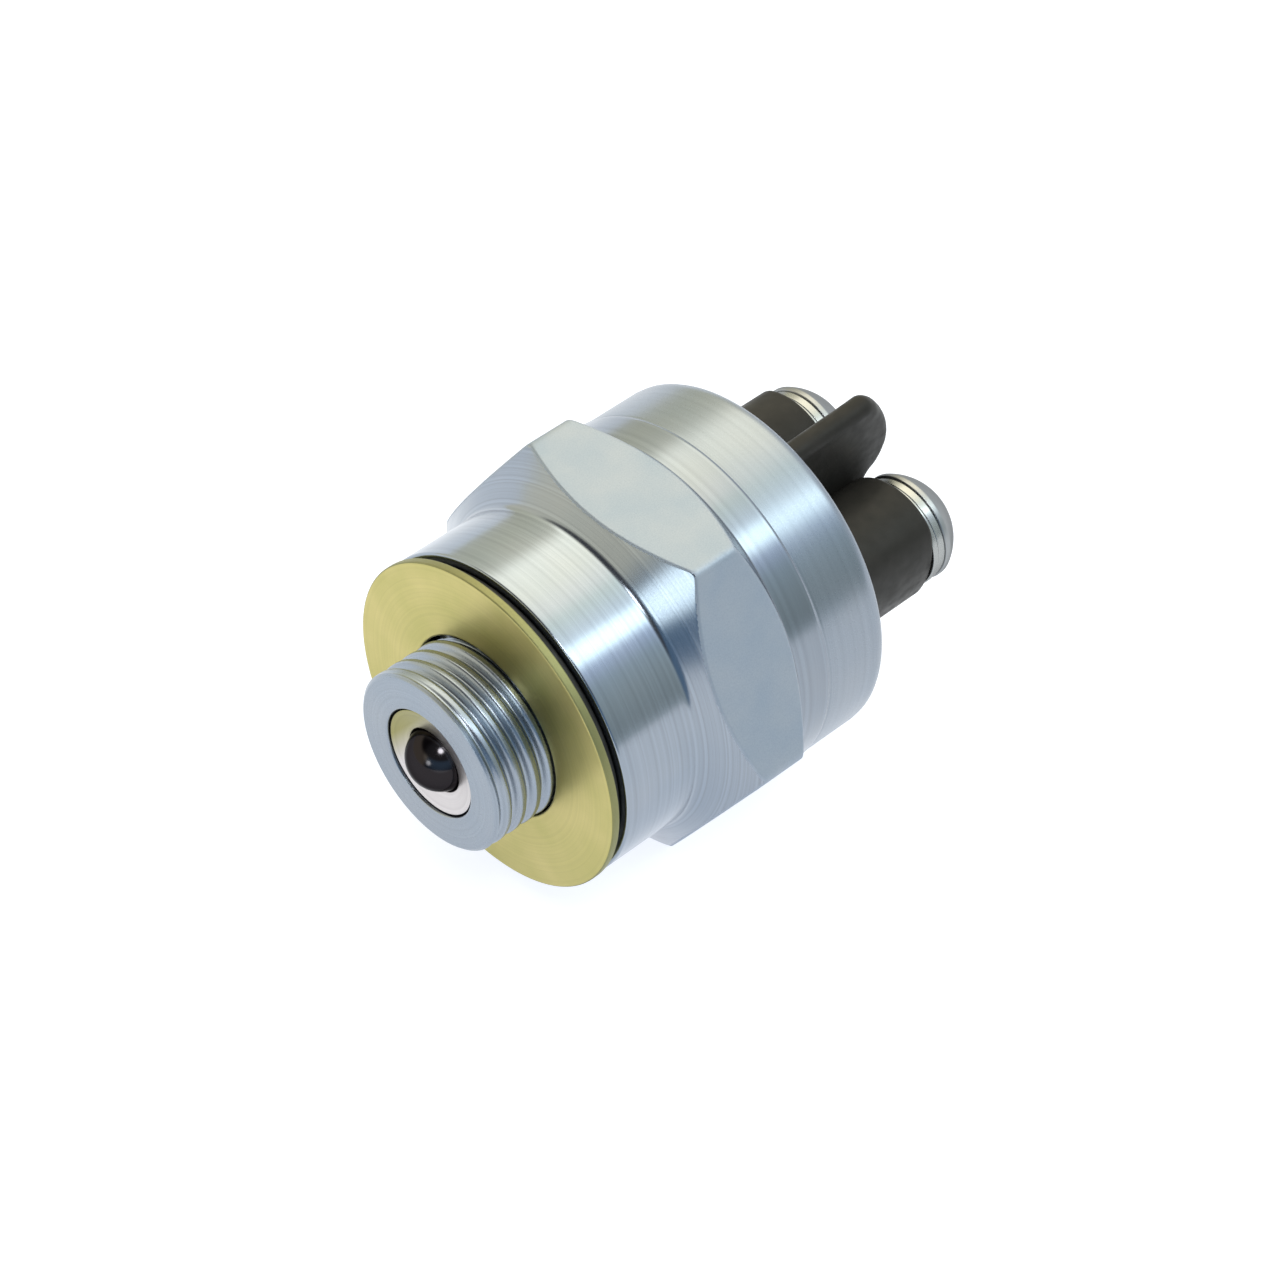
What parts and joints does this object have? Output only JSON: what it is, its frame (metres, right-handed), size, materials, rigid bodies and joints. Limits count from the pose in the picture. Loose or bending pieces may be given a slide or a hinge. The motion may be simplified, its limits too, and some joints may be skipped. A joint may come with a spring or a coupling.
{
  "type": "ball-plunger switch",
  "caption": "Hexagon-bodied plunger switch with threaded nose, captive ball actuator, sealing washer and a moulded base with two screw terminals.",
  "frame": {"origin": "on the switch's axis, in the plane of the front collar that seats on the washer", "axes": "+X along the axis from the nose to the terminals, +Z out of the hexagon flat that is on top when the switch lies on the opposite flat"},
  "size_m": [0.0518, 0.037, 0.032],
  "materials": {
    "zinc_plated_steel": "bright zinc plating over turned steel, slightly blue",
    "yellow_zinc_steel": "olive-yellow passivated zinc, satin",
    "black_rubber": "matt",
    "polished_steel": "mirror-polished hardened steel",
    "plain_steel": "fine turned",
    "nylon": "natural, matt",
    "spring_steel": "drawn wire",
    "copper": "stamped copper",
    "liner_plastic": "red-brown moulded fibre",
    "black_phenolic": "moulded, slight sheen",
    "brass": "turned",
    "silver": "silver contact facing",
    "nickel_plated_steel": "bright nickel plating"
  },
  "bodies": {
    "housing": {"hex_body": "zinc_plated_steel", "seat_washer": "yellow_zinc_steel", "seal_ring": "black_rubber", "insulating_liner": "liner_plastic", "base_gasket": "black_rubber", "terminal_base": "black_phenolic", "return_spring": "spring_steel", "contact_stud_left": "brass", "contact_stud_right": "brass", "contact_tip_left": "silver", "contact_tip_right": "silver"},
    "plunger_group": {"plunger": "plain_steel", "plunger_o_ring": "black_rubber", "pusher": "nylon"},
    "ball_group": {"ball": "polished_steel"},
    "bridge_group": {"contact_bridge": "copper", "overtravel_spring": "spring_steel"},
    "washers_left": {"clamp_washer_left": "nickel_plated_steel", "lock_washer_left": "nickel_plated_steel"},
    "screw_left": {"terminal_screw_left": "nickel_plated_steel"},
    "washers_right": {"clamp_washer_right": "nickel_plated_steel", "lock_washer_right": "nickel_plated_steel"},
    "screw_right": {"terminal_screw_right": "nickel_plated_steel"}
  },
  "joints": [
    {"name": "ball_press", "type": "slide", "parent": "housing", "child": "plunger_group", "axis": [1, 0, 0], "range_m": [0, 0.0015], "stiffness_N_per_m": 6000, "springref_m": -0.002, "deforming": ["overtravel_spring"]},
    {"name": "ball_roll", "type": "hinge", "parent": "plunger_group", "child": "ball_group", "pos_m": [-0.0062, 0, 0], "axis": [0, 1, 0], "continuous": true},
    {"name": "bridge_travel", "type": "slide", "parent": "housing", "child": "bridge_group", "axis": [1, 0, 0], "range_m": [0, 0.001], "deforming": ["return_spring"]},
    {"name": "screw_left_lift", "type": "slide", "parent": "housing", "child": "washers_left", "axis": [1, 0, 0], "range_m": [0, 0.003]},
    {"name": "screw_left_turn", "type": "hinge", "parent": "washers_left", "child": "screw_left", "pos_m": [0.0393, 0.00597, 0.00056], "axis": [1, 0, 0], "range_deg": [0, 1350]},
    {"name": "screw_right_lift", "type": "slide", "parent": "housing", "child": "washers_right", "axis": [1, 0, 0], "range_m": [0, 0.003]},
    {"name": "screw_right_turn", "type": "hinge", "parent": "washers_right", "child": "screw_right", "pos_m": [0.0393, -0.00597, -0.00056], "axis": [1, 0, 0], "range_deg": [0, 1350]}
  ],
  "couplings": [
    {"joint": "bridge_travel", "follows": "ball_press", "ratio": 0.6666},
    {"joint": "screw_left_turn", "follows": "screw_left_lift", "rad_per_m": 7854},
    {"joint": "screw_right_turn", "follows": "screw_right_lift", "rad_per_m": 7854}
  ]
}
